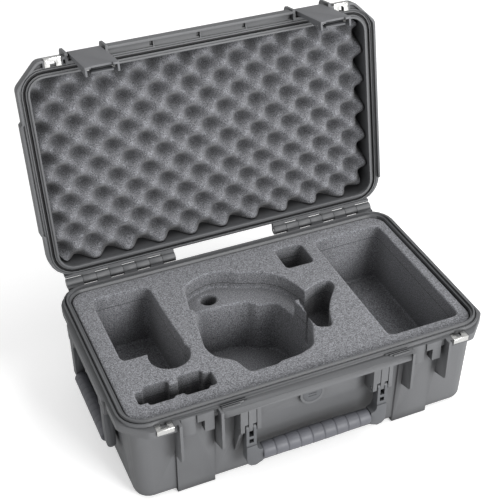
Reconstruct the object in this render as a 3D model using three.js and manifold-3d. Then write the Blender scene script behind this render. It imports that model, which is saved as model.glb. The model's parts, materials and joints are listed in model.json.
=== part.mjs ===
// Hard-shell drone carrying case, lid open. Millimetres, +Z up, +X along the length, front towards -Y.
// The origin is on the floor, under the middle of the base.
import * as THREE from "three";
import { mergeVertices } from "three/addons/utils/BufferGeometryUtils.js";
import Module from "manifold-3d";

const wasm = await Module();
wasm.setup();

// ---------- driving dimensions ----------
const foamLength = 521; // usable inside length at the rim
const foamDepth = 292; // usable inside depth, front to back
const foamStack = 145; // height of the base's foam
const lidInside = 50; // inside height of the lid
const lidOpenAngle = 100.8; // degrees from closed to the open stop
const clearance = 0.3; // gap between pieces that seat on each other

// base shell
const footHeight = 4;
const floorThickness = 5;
const wallThickness = 3;
const foamSideGap = 2;
const draft = 0.04; // inward lean of the walls, mm per mm
const shellCorner = 24; // inside corner radius at the rim
const rimAboveFoam = 3.5;
const partingGap = 1; // between the two flanges when shut
const bottomEdge = 6; // rounding under the base and on top of the lid
const mouthOver = 9; // how far a shell's hollow is cut past its mouth

// flange round both shells, measured out from the foam's edge
const flangeHeight = 12;
const flangePlate = 4.5;
const flangeLip = 3.5;
const flangeEnd = 16.5;
const flangeRear = 12;
const flangeFront = 27;
const flangeCornerFront = 24;
const flangeLatch = 17;
const flangeCorner = 38;
const flangeChamfer = 34; // slanted front corners
const flangeDrop = 5; // the flange's mating plane, below the rim's
const ringOuter = 12.6; // the raised ring inside the flange
const ringGap = 0.6; // between the base's ring and the lid's skirt
const browReach = 3.5;
const browHalf = 87; // half the length of the brow over the end handle
const tongueInner = 5.3;
const tongueOuter = 7.7;
const tongueHeight = 3.5;
const ringGroove = [8.3, 10.2]; // groove outside the tongue
const ringGrooveDeep = 3;
const grooveInner = 4.5;
const grooveOuter = 8.5;
const grooveDeep = 7;
const gasketHeight = 3.4;
const lipOuter = 1.7; // the lid's inner lip, which drops inside the base's wall
const lipDrop = 2.5;
const channelDeep = 2; // hollow between the lid's ring and its skirt
const channelRibs = [-75, -4, 67, 141]; // ribs across the hollow, each beside a blind slot
const channelRib = 1.6;
const drainWidth = 4.6;
const drainReach = [15.5, 22];
const drainSkin = 2; // plastic left behind each slot
const shelfRib = 1.2; // ribs at the ends of the front shelf
const shelfRibHeight = 2.2;
const shelfRibReach = [14.9, 18, 21.1];
const shelfRibLength = [37, 32, 27];

// hinge
const hingeReach = 24; // axis behind the foam's edge
const knuckleRadius = 7;
const knucklePitch = 21;
const knuckleEnd = 25; // the outer block
const knuckleCount = 7; // knuckles inside the outer block
const knuckleGap = 0.6;
const hingeInset = 4.5; // outer block's end, in from the foam's end
const hingePinRadius = 2.4;
const pinHoleExtra = 0.4; // hole radius over pin radius

// latch bays
const latchInset = 88; // latch centre, in from the foam's end
const bayWidth = 54; // between the two fins
const finThickness = 4;
const finReach = 29; // fin's front edge, out from the foam's edge
const finDrop = 69; // fin's front edge, down from the flange
const finSlope = 7;
const finTip = 4; // bevel at the fin's free end
const lidFinRise = 33;
const keeperReach = 19.2;
const keeperDrop = 32.5; // keeper's lower edge, below the flange
const keeperNotch = 12; // depth of the short part of the keeper
const keeperLeft = -3; // keeper's sides, from the latch's centre
const keeperStep = 7;
const keeperRight = 20.5;
const sidePlateLeft = -25;
const sidePlateRight = -5.5;
const sidePlateReach = 17.5;

// latch
const latchWidth = 48;
const latchPinRadius = 2.5;
const latchPinReach = 21.5; // pin axis, out from the foam's edge
const latchPinRise = 10; // pin axis above the parting plane
const latchHubRadius = 4;
const latchDrop = 83; // latch's lower end, below the parting plane
const latchFaceReach = 26; // latch's front face, out from the foam's edge
const latchFace = 3.2; // thickness of the front face
const latchSide = 3;
const latchSideBack = 19.6; // back edge of the side walls, out from the foam's edge
const latchFlare = 13; // the same at the latch's lower end
const latchFlareStart = 40; // where the side walls begin to deepen, below the parting plane
const latchCrownDrop = 3; // crown's lower edge, below the latch pin
const latchCrownBevel = 2;
const hookHeight = 7;
const hookBack = 14; // tip of the hook, out from the foam's edge
const mouthWidth = 31;
const mouthHeight = 4;
const triggerPinRadius = 1.5;
const triggerPinReach = 19;
const triggerPinRise = 12; // pin axis above the latch's lower end
const triggerHub = 3.1;
const triggerThickness = 2.4;
const triggerLipReach = 15.3; // back of the finger lip, out from the foam's edge
const triggerTip = 1.5; // how far the trigger ends above the latch's lower end
const springWire = 0.7;
const springTurns = 4;
const springRadius = 2.5;
const springRoom = 5.5; // beside the trigger, inside the latch's side wall

// steel padlock plates
const plateInset = 39.5; // plate's middle, in from the foam's end
const plateWidth = 24;
const plateSheet = 1.5;
const plateReachIn = 12.8; // plate's back and front edges, out from the foam's edge
const plateReachOut = 25.9;
const plateLip = 8;
const padlockReach = 17; // hole's centre, out from the foam's edge
const padlockRadius = 4.2;
const plateSeatWall = 2; // plastic round the plate in the lid

// front handle
const handleMiddle = -3; // the handle and the valve stand a little left of the middle
const handleHalfSpan = 100; // bracket centres
const prongThickness = 6;
const prongPitch = 12;
const prongDrop = 60; // prong ends, below the rim
const prongBend = 5; // bevel at a prong's free end
const bridgeDrop = 42; // lower edge of the bridge between prongs, below the rim
const bridgeGroove = 1.2;
const gussetDrop = 109.5; // foot of the outer prong's gusset, below the rim
const handlePinRadius = 2.5;
const handlePinReach = 21.5;
const handlePinDrop = 51.5;
const tineThickness = 4.2; // the arm's two tines stand either side of the middle prong
const handleArmDepth = 13;
const handleHub = 6.5;
const crossbarDrop = 13; // first crossbar's top, below the pin
const crossbarHeight = 5;
const armWindow = 7; // height of the small window under the first crossbar
const handleDrop = 53; // pin to the middle of the grip
const elbowDrop = 16; // elbow's underside, below the middle of the grip
const elbowRise = 22; // where the elbow leaves the arm, above the middle of the grip
const elbowReach = 9; // elbow's inner end, in from the arm
const elbowEnd = 11; // half height of the elbow's inner end
const elbowRound = 13;
const elbowHalfDepth = 8;
const gripRadius = 12.8;
const gripEndRadius = 11.2;
const gripCore = 7;
const gripSegments = 9;
const gripGroove = 1.2;

// end handle
const endArmHalf = 74; // arm centres
const endArmWidth = 16;
const endCheek = 4.5;
const endPinRadius = 2.5;
const endPinReach = 12.5; // pin axis, out from the foam's end
const endPinDrop = 25.5;
const endHub = 6.6;
const endHandleDrop = 68;
const endGripRadius = 10.4;
const endGripCore = 6;
const endGripSegments = 11;
const endGripGroove = 0.8;

// pressure valve on the front wall
const valveDrop = 40; // valve's axis, below the rim
const valveBoss = 18.5;
const valveBossReach = 8.5; // boss face, out from the foam's edge
const valveRadius = 8;
const valveFlange = 14.5;
const valveFlangeThickness = 1.5;
const valveCapThickness = 1.5;
const ventWidth = 1.4;
const ventPitch = 4.4;
const ventDeep = 0.7;
const ventHalf = 6;
const bossSides = 24;

// foam
const foamGap = 0.3; // between the foam layers
const topLayer = 22;
const basePad = 43;
const shelfDepth = 30; // the drone's shelf, below the foam's face
const nestDepth = 120; // the drone's deep pocket
const slotDepth = 50; // battery slots
const leafDepth = 60; // shaped slot and small square pocket
const fingerDepth = 62; // round hole in the shelf
const fingerRadius = 12.5;
const lidFoamThickness = 40;
const lidFoamGap = 1;

// lid shell
const lidTop = 5;
const lidRibHeight = 7;
const lidRibCount = 5;
const lidRibWidth = 22;
const lidRibPitch = 46;
const lidRibHalf = 190;
const lidRibSlope = 3;
const ridgeInner = 11.2; // the lid's outer ridge, over the base's ring
const ridgeOuter = 13.4;
const ridgeGroove = 0.9;
const ridgeGrooveDeep = 2;

// feet
const rearFootX = 178;
const footHalfLength = 26;
const frontFeet = [[-203, -148], [134, 190]]; // each under a pilaster as wide as itself
const pilasterStep = 3; // how far it stands out from the front wall
const footDeep = 30;
const footBevel = 2;
const padHalfLength = 60;
const padHalfDepth = 30;

// ---------- places worked out from them ----------
const halfLength = foamLength / 2;
const halfDepth = foamDepth / 2;
const insideFloor = footHeight + floorThickness;
const foamTop = insideFloor + foamStack;
const rimTop = foamTop + rimAboveFoam;
const parting = rimTop + partingGap / 2;
const lidFace = rimTop + partingGap;
const flangeFace = rimTop - flangeDrop;
const skirtFace = lidFace - flangeDrop;
const lidCeiling = lidFace + lidInside;
const lidSkin = lidCeiling + lidTop;
const padTop = insideFloor + basePad;
const coreTop = foamTop - topLayer;
const hingeY = halfDepth + hingeReach;
const latchPinY = -(halfDepth + latchPinReach);
const latchPinZ = parting + latchPinRise;
const latchEnd = parting - latchDrop;
const triggerPinY = -(halfDepth + triggerPinReach);
const triggerPinZ = latchEnd + triggerPinRise;
const handlePinY = -(halfDepth + handlePinReach);
const handlePinZ = rimTop - handlePinDrop;
const handleArmWidth = prongThickness + 2 * (tineThickness + clearance);
const gripHalf = handleHalfSpan - handleArmWidth / 2 - elbowReach - clearance;
const endPinX = -(halfLength + endPinReach);
const endPinZ = rimTop - endPinDrop;
const endGripHalf = endArmHalf - endArmWidth / 2 - clearance;
const valveZ = rimTop - valveDrop;
const latchX = halfLength - latchInset;
const plateX = halfLength - plateInset;
const over = 1; // how far a cutting tool runs past what it cuts
const rodSides = 16;
const pinSides = 12;
const arcSteps = 3; // half the number of flats on a corner

// ---------- colours ----------
const shellPlastic = new THREE.MeshStandardMaterial({ color: 0x77787b, roughness: 0.62 });
const darkPlastic = new THREE.MeshStandardMaterial({ color: 0x5d5e61, roughness: 0.6 });
const latchPlastic = new THREE.MeshStandardMaterial({ color: 0x6c6d70, roughness: 0.55 });
const rubber = new THREE.MeshStandardMaterial({ color: 0x6a6b6e, roughness: 0.8 });
const seal = new THREE.MeshStandardMaterial({ color: 0x1c1c1e, roughness: 0.85 });
const foamGrey = new THREE.MeshStandardMaterial({ color: 0x85868a, roughness: 1 });
const steel = new THREE.MeshStandardMaterial({ color: 0xd9dadc, roughness: 0.28, metalness: 1 });

// ---------- shape helpers ----------
// A closed geometry as a solid that can be joined and cut.
function solid(geometry) {
  const bare = geometry.index ? geometry.toNonIndexed() : geometry.clone();
  bare.deleteAttribute("normal");
  bare.deleteAttribute("uv");
  const merged = mergeVertices(bare, 1e-4);
  const vertProperties = merged.attributes.position.array;
  const triVerts = new Uint32Array(merged.index.array);
  return new wasm.Manifold(new wasm.Mesh({ numProp: 3, vertProperties, triVerts }));
}

function join(...parts) {
  return parts.reduce((whole, part) => whole.add(part));
}

function cut(body, ...tools) {
  return tools.reduce((left, tool) => left.subtract(tool), body);
}

function block(x, y, z) {
  const box = new THREE.BoxGeometry(x[1] - x[0], y[1] - y[0], z[1] - z[0]);
  return solid(box.translate((x[0] + x[1]) / 2, (y[0] + y[1]) / 2, (z[0] + z[1]) / 2));
}

// A plan outline raised from z[0] to z[1].
function raise(shape, z, curveSegments = arcSteps) {
  const depth = z[1] - z[0];
  const geometry = new THREE.ExtrudeGeometry(shape, { depth, bevelEnabled: false, curveSegments });
  return solid(geometry.translate(0, 0, z[0]));
}

// An outline of [y, z] points, run along X.
function alongX(points, x) {
  const options = { depth: x[1] - x[0], bevelEnabled: false };
  const turn = new THREE.Matrix4().makeBasis(
    new THREE.Vector3(0, 1, 0), new THREE.Vector3(0, 0, 1), new THREE.Vector3(1, 0, 0));
  const geometry = new THREE.ExtrudeGeometry(outlineOf(points), options).applyMatrix4(turn);
  return solid(geometry.translate(x[0], 0, 0));
}

// An outline of [x, z] points, run along Y.
function alongY(shape, y, curveSegments = arcSteps) {
  return raise(shape, [-y[1], -y[0]], curveSegments).rotate([90, 0, 0]);
}

function outlineOf(points) {
  return new THREE.Shape(points.map(([u, v]) => new THREE.Vector2(u, v)));
}

function rodX(radius, x, y, z, sides = rodSides) {
  const rod = new THREE.CylinderGeometry(radius, radius, x[1] - x[0], sides);
  return solid(rod.rotateZ(Math.PI / 2).translate((x[0] + x[1]) / 2, y, z));
}

function rodY(radius, x, y, z, sides = rodSides) {
  const rod = new THREE.CylinderGeometry(radius, radius, y[1] - y[0], sides);
  return solid(rod.translate(x, (y[0] + y[1]) / 2, z));
}

function rodZ(radius, x, y, z, sides = rodSides) {
  const rod = new THREE.CylinderGeometry(radius, radius, z[1] - z[0], sides);
  return solid(rod.rotateX(Math.PI / 2).translate(x, y, (z[0] + z[1]) / 2));
}

function roundedRect(halfX, halfY, radius) {
  const shape = new THREE.Shape();
  shape.absarc(halfX - radius, halfY - radius, radius, 0, Math.PI / 2);
  shape.absarc(-halfX + radius, halfY - radius, radius, Math.PI / 2, Math.PI);
  shape.absarc(-halfX + radius, -halfY + radius, radius, Math.PI, Math.PI * 1.5);
  shape.absarc(halfX - radius, -halfY + radius, radius, Math.PI * 1.5, Math.PI * 2);
  return shape;
}

function rectOutline(x, y) {
  return outlineOf([[x[0], y[0]], [x[1], y[0]], [x[1], y[1]], [x[0], y[1]]]);
}

// A rounded box through rings of { grow, z }, where grow is measured out from the foam's edge.
function ringed(rings, cornerGrow = 0) {
  const loops = rings.map(({ grow, z }) => {
    const radius = Math.max(shellCorner + cornerGrow + grow, 2);
    const shape = roundedRect(halfLength + grow, halfDepth + grow, radius);
    return shape.getPoints(arcSteps).map((p) => new THREE.Vector3(p.x, p.y, z));
  });
  const count = loops[0].length;
  const points = loops.flat();
  const faces = [];
  for (let level = 0; level + 1 < loops.length; level++) {
    for (let i = 0; i < count; i++) {
      const a = level * count + i;
      const b = level * count + ((i + 1) % count);
      faces.push(a, b, b + count, a, b + count, a + count);
    }
  }
  const last = points.length - count;
  for (let i = 1; i + 1 < count; i++) {
    faces.push(0, i + 1, i);
    faces.push(last, last + i, last + i + 1);
  }
  const geometry = new THREE.BufferGeometry().setFromPoints(points);
  geometry.setIndex(faces);
  return solid(geometry);
}

// A ring between two offsets from the foam's edge.
function band(inner, outer, z) {
  const outside = roundedRect(halfLength + outer, halfDepth + outer, shellCorner + outer);
  const inside = roundedRect(halfLength + inner, halfDepth + inner, shellCorner + inner);
  return cut(raise(outside, z), raise(inside, [z[0] - over, z[1] + over]));
}

// ---------- outlines shared by the two shells ----------
// The flange's outline seen from above: slanted front corners, round rear ones, the latch bays set back,
// the brow over the end handle standing out at the left.
function flangeOutline(inset) {
  const end = halfLength + flangeEnd - inset;
  const rear = halfDepth + flangeRear - inset;
  const corner = -(halfDepth + flangeCornerFront - inset);
  const bay = -(halfDepth + flangeLatch - inset);
  const middle = -(halfDepth + flangeFront - inset);
  const bayOuter = latchX + bayWidth / 2;
  const bayInner = latchX - bayWidth / 2;
  const radius = flangeCorner - inset;
  const brow = end + browReach;
  const slant = flangeChamfer - inset * (2 - Math.SQRT2); // keeps the slanted lip as wide as the straight
  const ease = slant / 6;
  const near = ease * Math.SQRT1_2;
  const shape = new THREE.Shape();
  shape.moveTo(-bayInner, middle);
  shape.lineTo(bayInner, middle);
  shape.lineTo(bayInner, bay);
  shape.lineTo(bayOuter, bay);
  shape.lineTo(bayOuter, corner);
  shape.lineTo(end - slant - ease, corner);
  shape.quadraticCurveTo(end - slant, corner, end - slant + near, corner + near);
  shape.lineTo(end - near, corner + slant - near);
  shape.quadraticCurveTo(end, corner + slant, end, corner + slant + ease);
  shape.absarc(end - radius, rear - radius, radius, 0, Math.PI / 2);
  shape.absarc(-end + radius, rear - radius, radius, Math.PI / 2, Math.PI);
  shape.lineTo(-end, browHalf);
  shape.lineTo(-brow, browHalf - browReach);
  shape.lineTo(-brow, -browHalf + browReach);
  shape.lineTo(-end, -browHalf);
  shape.lineTo(-end, corner + slant + ease);
  shape.quadraticCurveTo(-end, corner + slant, -end + near, corner + slant - near);
  shape.lineTo(-end + slant - near, corner + near);
  shape.quadraticCurveTo(-end + slant, corner, -end + slant + ease, corner);
  shape.lineTo(-bayOuter, corner);
  shape.lineTo(-bayOuter, bay);
  shape.lineTo(-bayInner, bay);
  return shape;
}

// The flange: a flat plate with a lip turned away from the parting plane.
function flange(face, away) {
  const full = [face, face + away * flangeHeight].sort((a, b) => a - b);
  const hollowEnds = [face + away * flangePlate, face + away * (flangeHeight + over)];
  const hollow = hollowEnds.sort((a, b) => a - b);
  const web = wallThickness + foamSideGap;
  const core = roundedRect(halfLength + web, halfDepth + web, shellCorner + web);
  const pocket = cut(raise(flangeOutline(flangeLip), hollow), raise(core, hollow));
  return cut(raise(flangeOutline(0), full), pocket);
}

// One fin beside a latch bay. It runs from the wall to its front edge.
function fin(x, face, away, reach) {
  const wall = -(halfDepth + foamSideGap);
  const front = -(halfDepth + finReach);
  const outline = [
    [wall, face],
    [front, face],
    [front, face + away * (reach - finTip)],
    [front + finTip, face + away * reach],
    [wall, face + away * (reach + finSlope)],
  ];
  return alongX(outline, [x - finThickness / 2, x + finThickness / 2]);
}

function finPlaces(side) {
  const half = (bayWidth + finThickness) / 2;
  return [side * latchX - half, side * latchX + half];
}

// The web and barrel of one hinge knuckle.
function knuckle(x, face, away) {
  const barrel = rodX(knuckleRadius, x, hingeY, parting);
  const low = Math.min(face, face + away * (knuckleRadius - partingGap));
  const high = Math.max(face, face + away * (knuckleRadius - partingGap));
  return join(barrel, block(x, [halfDepth + flangeRear - over, hingeY], [low, high]));
}

// The knuckles of one shell: the base has the outer block and every second knuckle after it.
function knuckleSpans(side, own) {
  const outer = halfLength - hingeInset;
  const spans = [];
  for (let i = -1; i < knuckleCount; i++) {
    const far = i < 0 ? outer : outer - knuckleEnd - i * knucklePitch;
    const near = outer - knuckleEnd - (i + 1) * knucklePitch;
    const isBase = i % 2 !== 0;
    if (isBase === (own === "base")) {
      const gapFar = i < 0 ? 0 : knuckleGap / 2;
      const gapNear = i === knuckleCount - 1 ? 0 : knuckleGap / 2;
      const span = [side * (far - gapFar), side * (near + gapNear)];
      spans.push(span.sort((a, b) => a - b));
    }
  }
  return spans;
}

// The other shell's knuckles turn inside this clearance round the hinge axis.
function hingeClearance(side, own) {
  const other = own === "base" ? "lid" : "base";
  const radius = knuckleRadius + knuckleGap;
  return knuckleSpans(side, other).map(([x0, x1]) => {
    return rodX(radius, [x0 - knuckleGap, x1 + knuckleGap], hingeY, parting);
  });
}

function hingePinHole(side) {
  const outer = halfLength - hingeInset;
  const inner = outer - knuckleEnd - knuckleCount * knucklePitch;
  const x = [side * (outer + over), side * (inner - over)].sort((a, b) => a - b);
  return rodX(hingePinRadius + pinHoleExtra, x, hingeY, parting);
}

// Seat in a flange for a steel padlock plate, with its round hole through the flange.
function plateSeat(side, face, away) {
  const half = plateWidth / 2 + clearance;
  const x = [side * plateX - half, side * plateX + half];
  const y = [-(halfDepth + plateReachOut + clearance), -(halfDepth + plateReachIn - clearance)];
  const deep = face + away * (plateSheet + clearance);
  const z = [Math.min(face - away * over, deep), Math.max(face - away * over, deep)];
  const through = [face - over - flangeHeight, face + over + flangeHeight];
  return join(block(x, y, z), padlockSlot(side, through));
}

// The shackle's slot: round at the front, open at the plate's back edge.
function padlockSlot(side, z) {
  const x = [side * plateX - padlockRadius, side * plateX + padlockRadius];
  const back = -(halfDepth + plateReachIn - clearance);
  return join(rodZ(padlockRadius, side * plateX, padlockY(), z), block(x, [padlockY(), back], z));
}

function padlockY() {
  return -(halfDepth + padlockReach);
}

function padlockPlate(side, face, away) {
  const x = [side * plateX - plateWidth / 2, side * plateX + plateWidth / 2];
  const front = -(halfDepth + plateReachOut);
  const back = -(halfDepth + plateReachIn);
  const flat = [face, face + away * plateSheet].sort((a, b) => a - b);
  const lip = [face, face + away * plateLip].sort((a, b) => a - b);
  const sheet = block(x, [front, back], flat);
  const turned = block(x, [front, front + plateSheet], lip);
  const through = [face - plateSheet - over, face + plateSheet + over];
  return cut(join(sheet, turned), padlockSlot(side, through));
}

// ---------- base ----------
function keeper(side) {
  const centre = side * latchX;
  const front = -(halfDepth + keeperReach);
  const wall = -(halfDepth + foamSideGap);
  const low = flangeFace - keeperDrop;
  const long = block([centre + keeperStep, centre + keeperRight], [front, wall], [low, flangeFace]);
  const short = block([centre + keeperLeft, centre + keeperStep], [front, wall],
    [flangeFace - keeperNotch, flangeFace]);
  const plateFront = -(halfDepth + sidePlateReach);
  const sidePlate = block([centre + sidePlateLeft, centre + sidePlateRight], [plateFront, wall],
    [low, flangeFace]);
  return join(long, short, sidePlate);
}

// Three prongs that carry one arm's pin, joined above the arm by a bridge with a fine groove either side of
// the middle prong.
function handleBracket(centre) {
  const wall = -(halfDepth + foamSideGap);
  const front = -(halfDepth + flangeFront);
  const end = rimTop - prongDrop;
  const top = flangeFace - flangePlate;
  const profile = [
    [wall, top],
    [wall, end],
    [front + prongBend, end],
    [front, end + prongBend],
    [front, top],
  ];
  const gusset = [
    [wall, end + prongBend],
    [wall, rimTop - gussetDrop],
    [front + prongBend, end],
    [front, end + prongBend],
  ];
  const outer = Math.sign(centre - handleMiddle);
  const prongs = [-1, 0, 1].map((place) => {
    const x = centre + place * prongPitch;
    const span = [x - prongThickness / 2, x + prongThickness / 2];
    const prong = alongX(profile, span);
    return place === outer ? join(prong, alongX(gusset, span)) : prong;
  });
  const x = [centre - prongPitch, centre + prongPitch];
  const bridge = block(x, [front, wall], [rimTop - bridgeDrop, top]);
  const grooves = [-prongThickness / 2 - bridgeGroove, prongPitch - prongThickness / 2 - bridgeGroove];
  return cut(join(bridge, ...prongs), ...grooves.map((place) => {
    const span = [centre + place, centre + place + bridgeGroove];
    return block(span, [front - over, front + bridgeGroove], [rimTop - bridgeDrop - over, top]);
  }));
}

// The two cheeks that carry one arm of the end handle.
function endBracket(place) {
  const wall = -(halfLength + foamSideGap);
  const front = -(halfLength + endPinReach + endHub);
  const low = endPinZ - endHub;
  const gap = endArmWidth / 2 + clearance * 2;
  return join(...[-1, 1].map((cheek) => {
    const edges = [place + cheek * gap, place + cheek * (gap + endCheek)].sort((a, b) => a - b);
    return block([front, wall], edges, [low, flangeFace - flangePlate]);
  }));
}

function feet() {
  const y = halfDepth + foamSideGap;
  const top = footHeight + bottomEdge;
  const rear = [-1, 1].map((side) => {
    const x = [side * rearFootX - footHalfLength, side * rearFootX + footHalfLength];
    return block(x, [y - footDeep, y], [0, top]);
  });
  const pilasterTop = flangeFace - flangePlate;
  const face = (z) => -(y + wallThickness + pilasterStep - draft * (rimTop - z));
  const front = frontFeet.map((x) => alongX([
    [footDeep - y, 0], [face(0) + footBevel, 0], [face(footBevel), footBevel],
    [face(pilasterTop), pilasterTop], [footDeep - y, pilasterTop],
  ], x));
  const pad = block([-padHalfLength, padHalfLength], [-padHalfDepth, padHalfDepth], [0, top]);
  return join(...rear, ...front, pad);
}

// The wall of a shell between its mouth and its far side, with a rounded far edge.
function shellRings(mouth, far, grow) {
  const lean = draft * Math.abs(mouth - far);
  const step = Math.sign(mouth - far);
  const rings = [
    { grow: grow - lean - bottomEdge, z: far },
    { grow: grow - lean - bottomEdge * 0.3, z: far + step * bottomEdge * 0.3 },
    { grow: grow - lean, z: far + step * bottomEdge },
    { grow, z: mouth },
  ];
  return step > 0 ? rings : rings.reverse();
}

function baseShell() {
  const outer = ringed(shellRings(rimTop, footHeight, foamSideGap + wallThickness));
  const mouth = { grow: foamSideGap, z: rimTop + mouthOver };
  const cavity = [...shellRings(rimTop, insideFloor, foamSideGap), mouth];
  const ring = band(foamSideGap, ringOuter, [flangeFace - flangePlate, rimTop]);
  const tongue = band(tongueInner, tongueOuter, [rimTop - over, rimTop + tongueHeight]);
  const ringCut = band(ringGroove[0], ringGroove[1], [rimTop - ringGrooveDeep, rimTop + over]);
  const handleCentres = [handleMiddle - handleHalfSpan, handleMiddle + handleHalfSpan];
  const bays = [-1, 1].flatMap((side) => [
    ...finPlaces(side).map((x) => fin(x, flangeFace, -1, finDrop)),
    keeper(side),
  ]);
  const knuckles = [-1, 1].flatMap((side) => {
    return knuckleSpans(side, "base").map((x) => knuckle(x, rimTop, -1));
  });
  const boss = rodY(valveBoss, handleMiddle, [-(halfDepth + valveBossReach), -(halfDepth + foamSideGap)],
    valveZ, bossSides);
  let body = join(outer, flange(flangeFace, -1), ring, tongue, feet(), boss, ...bays, ...knuckles);
  body = join(cut(body, ringCut), ...shelfRibs());
  body = join(body, ...handleCentres.map(handleBracket));
  body = join(body, endBracket(-endArmHalf), endBracket(endArmHalf));
  body = cut(body, ringed(cavity));
  body = cut(body, ...[-1, 1].flatMap((side) => hingeClearance(side, "base")));
  body = cut(body, hingePinHole(-1), hingePinHole(1));
  body = cut(body, plateSeat(-1, flangeFace, -1), plateSeat(1, flangeFace, -1));
  body = cut(body, ...handleCentres.map((x) => handlePin(x, clearance)));
  body = cut(body, endPin(-endArmHalf, clearance), endPin(endArmHalf, clearance));
  return cut(body, valveHole());
}

// Short ribs along each end of the shelf in front of the rim.
function shelfRibs() {
  const outer = latchX - bayWidth / 2 - flangeLip - ringGap;
  return [-1, 1].flatMap((side) => shelfRibReach.map((reach, i) => {
    const x = [side * outer, side * (outer - shelfRibLength[i])].sort((a, b) => a - b);
    const y = -(halfDepth + reach);
    return block(x, [y - shelfRib, y], [flangeFace - over, flangeFace + shelfRibHeight]);
  }));
}

// ---------- lid ----------
// The lid's skirt hangs from its flange and shuts down outside the base's raised ring.
function lidSkirt() {
  const z = [skirtFace, lidFace + over];
  const lip = cut(raise(flangeOutline(0), z), raise(flangeOutline(flangeLip), [z[0] - over, z[1] + over]));
  const rear = block([-halfLength * 2, halfLength * 2], [halfDepth - shellCorner, halfDepth * 2],
    [z[0] - over, lidFace]);
  return cut(lip, rear);
}

// Ribs across the hollow behind the skirt, and the blind slot on the left of each.
function channelRibPieces() {
  const reach = [ridgeOuter - over, flangeFront - flangeLip + over];
  return channelRibs.map((x) => {
    return block([x, x + channelRib], [-(halfDepth + reach[1]), -(halfDepth + reach[0])],
      [lidFace, lidFace + flangePlate]);
  });
}

function drainSlots() {
  return channelRibs.map((x) => {
    return block([x - drainWidth, x], [-(halfDepth + drainReach[1]), -(halfDepth + drainReach[0])],
      [lidFace - over, lidFace + flangeHeight - drainSkin]);
  });
}

// The block of plastic that carries a steel plate across the hollow.
function lidPlateSeat(side) {
  const half = plateWidth / 2 + clearance + plateSeatWall;
  const y = [-(halfDepth + flangeCornerFront), -(halfDepth + ridgeInner)];
  return block([side * plateX - half, side * plateX + half], y, [skirtFace, lidFace + flangePlate]);
}

function lidShell() {
  const outer = ringed(shellRings(lidFace, lidSkin, foamSideGap + wallThickness));
  const mouth = { grow: foamSideGap, z: lidFace - mouthOver };
  const cavity = [mouth, ...shellRings(lidFace, lidCeiling, foamSideGap)];
  const seat = band(foamSideGap, ridgeInner, [lidFace, lidFace + grooveDeep + wallThickness]);
  const groove = band(grooveInner, grooveOuter, [lidFace - over, lidFace + grooveDeep]);
  const lip = band(-over, lipOuter, [lidFace - lipDrop, lidFace + flangePlate]);
  const lipRoot = band(-over, foamSideGap + over, [lidFace, lidFace + flangePlate]);
  const knuckles = [-1, 1].flatMap((side) => {
    return knuckleSpans(side, "lid").map((x) => knuckle(x, lidFace, 1));
  });
  const fins = [-1, 1].flatMap((side) => finPlaces(side).map((x) => fin(x, skirtFace, 1, lidFinRise)));
  const plateSeats = [lidPlateSeat(-1), lidPlateSeat(1)];
  let body = join(outer, flange(lidFace, 1), seat, lidSkirt(), ...knuckles, ...fins, ...lidRibs());
  body = join(cut(body, lidChannel()), ...channelRibPieces(), ...plateSeats);
  body = cut(body, ringRoom(), ringed(cavity), ...drainSlots());
  body = join(body, lip, lipRoot);
  const ridgeSide = [lidFace - over, lidFace + ridgeGrooveDeep];
  body = cut(body, groove, band(ridgeInner - ridgeGroove, ridgeInner, ridgeSide));
  body = cut(body, ...[-1, 1].flatMap((side) => hingeClearance(side, "lid")));
  body = cut(body, hingePinHole(-1), hingePinHole(1));
  body = cut(body, plateSeat(-1, skirtFace, 1), plateSeat(1, skirtFace, 1));
  return cut(body, latchPin(-1, clearance), latchPin(1, clearance));
}

// The hollow between the lid's outer ridge and its skirt.
function lidChannel() {
  const z = [lidFace - over, lidFace + channelDeep];
  const ridge = roundedRect(halfLength + ridgeOuter, halfDepth + ridgeOuter, shellCorner + ridgeOuter);
  return cut(raise(flangeOutline(flangeLip), z), raise(ridge, [z[0] - over, z[1] + over]));
}

// Room under the lid's face for the base's raised ring.
function ringRoom() {
  const reach = ringOuter + ringGap;
  const outline = roundedRect(halfLength + reach, halfDepth + reach, shellCorner + reach);
  return raise(outline, [skirtFace - over, lidFace]);
}

// Long ribs on the lid's outside, which keep stacked cases apart.
function lidRibs() {
  return Array.from({ length: lidRibCount }, (_, i) => {
    const y = (i - (lidRibCount - 1) / 2) * lidRibPitch;
    const half = lidRibWidth / 2;
    const outline = [
      [y - half, lidSkin - over], [y + half, lidSkin - over],
      [y + half - lidRibSlope, lidSkin + lidRibHeight], [y - half + lidRibSlope, lidSkin + lidRibHeight],
    ];
    return alongX(outline, [-lidRibHalf, lidRibHalf]);
  });
}

function lidGasket() {
  const top = lidFace + grooveDeep - clearance;
  return band(grooveInner + clearance, grooveOuter - clearance, [top - gasketHeight, top]);
}

function hingePin(side) {
  const outer = halfLength - hingeInset;
  const inner = outer - knuckleEnd - knuckleCount * knucklePitch;
  const x = [side * outer, side * inner].sort((a, b) => a - b);
  return rodX(hingePinRadius, x, hingeY, parting);
}

// ---------- latch ----------
function latchPin(side, extra = 0) {
  const half = bayWidth / 2 + finThickness + (extra > 0 ? over : 0);
  const x = [side * latchX - half, side * latchX + half];
  return rodX(latchPinRadius + extra, x, latchPinY, latchPinZ);
}

function triggerPin(side, extra = 0) {
  const half = latchWidth / 2 + (extra > 0 ? over : 0);
  const x = [side * latchX - half, side * latchX + half];
  return rodX(triggerPinRadius + extra, x, triggerPinY, triggerPinZ, pinSides);
}

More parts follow.
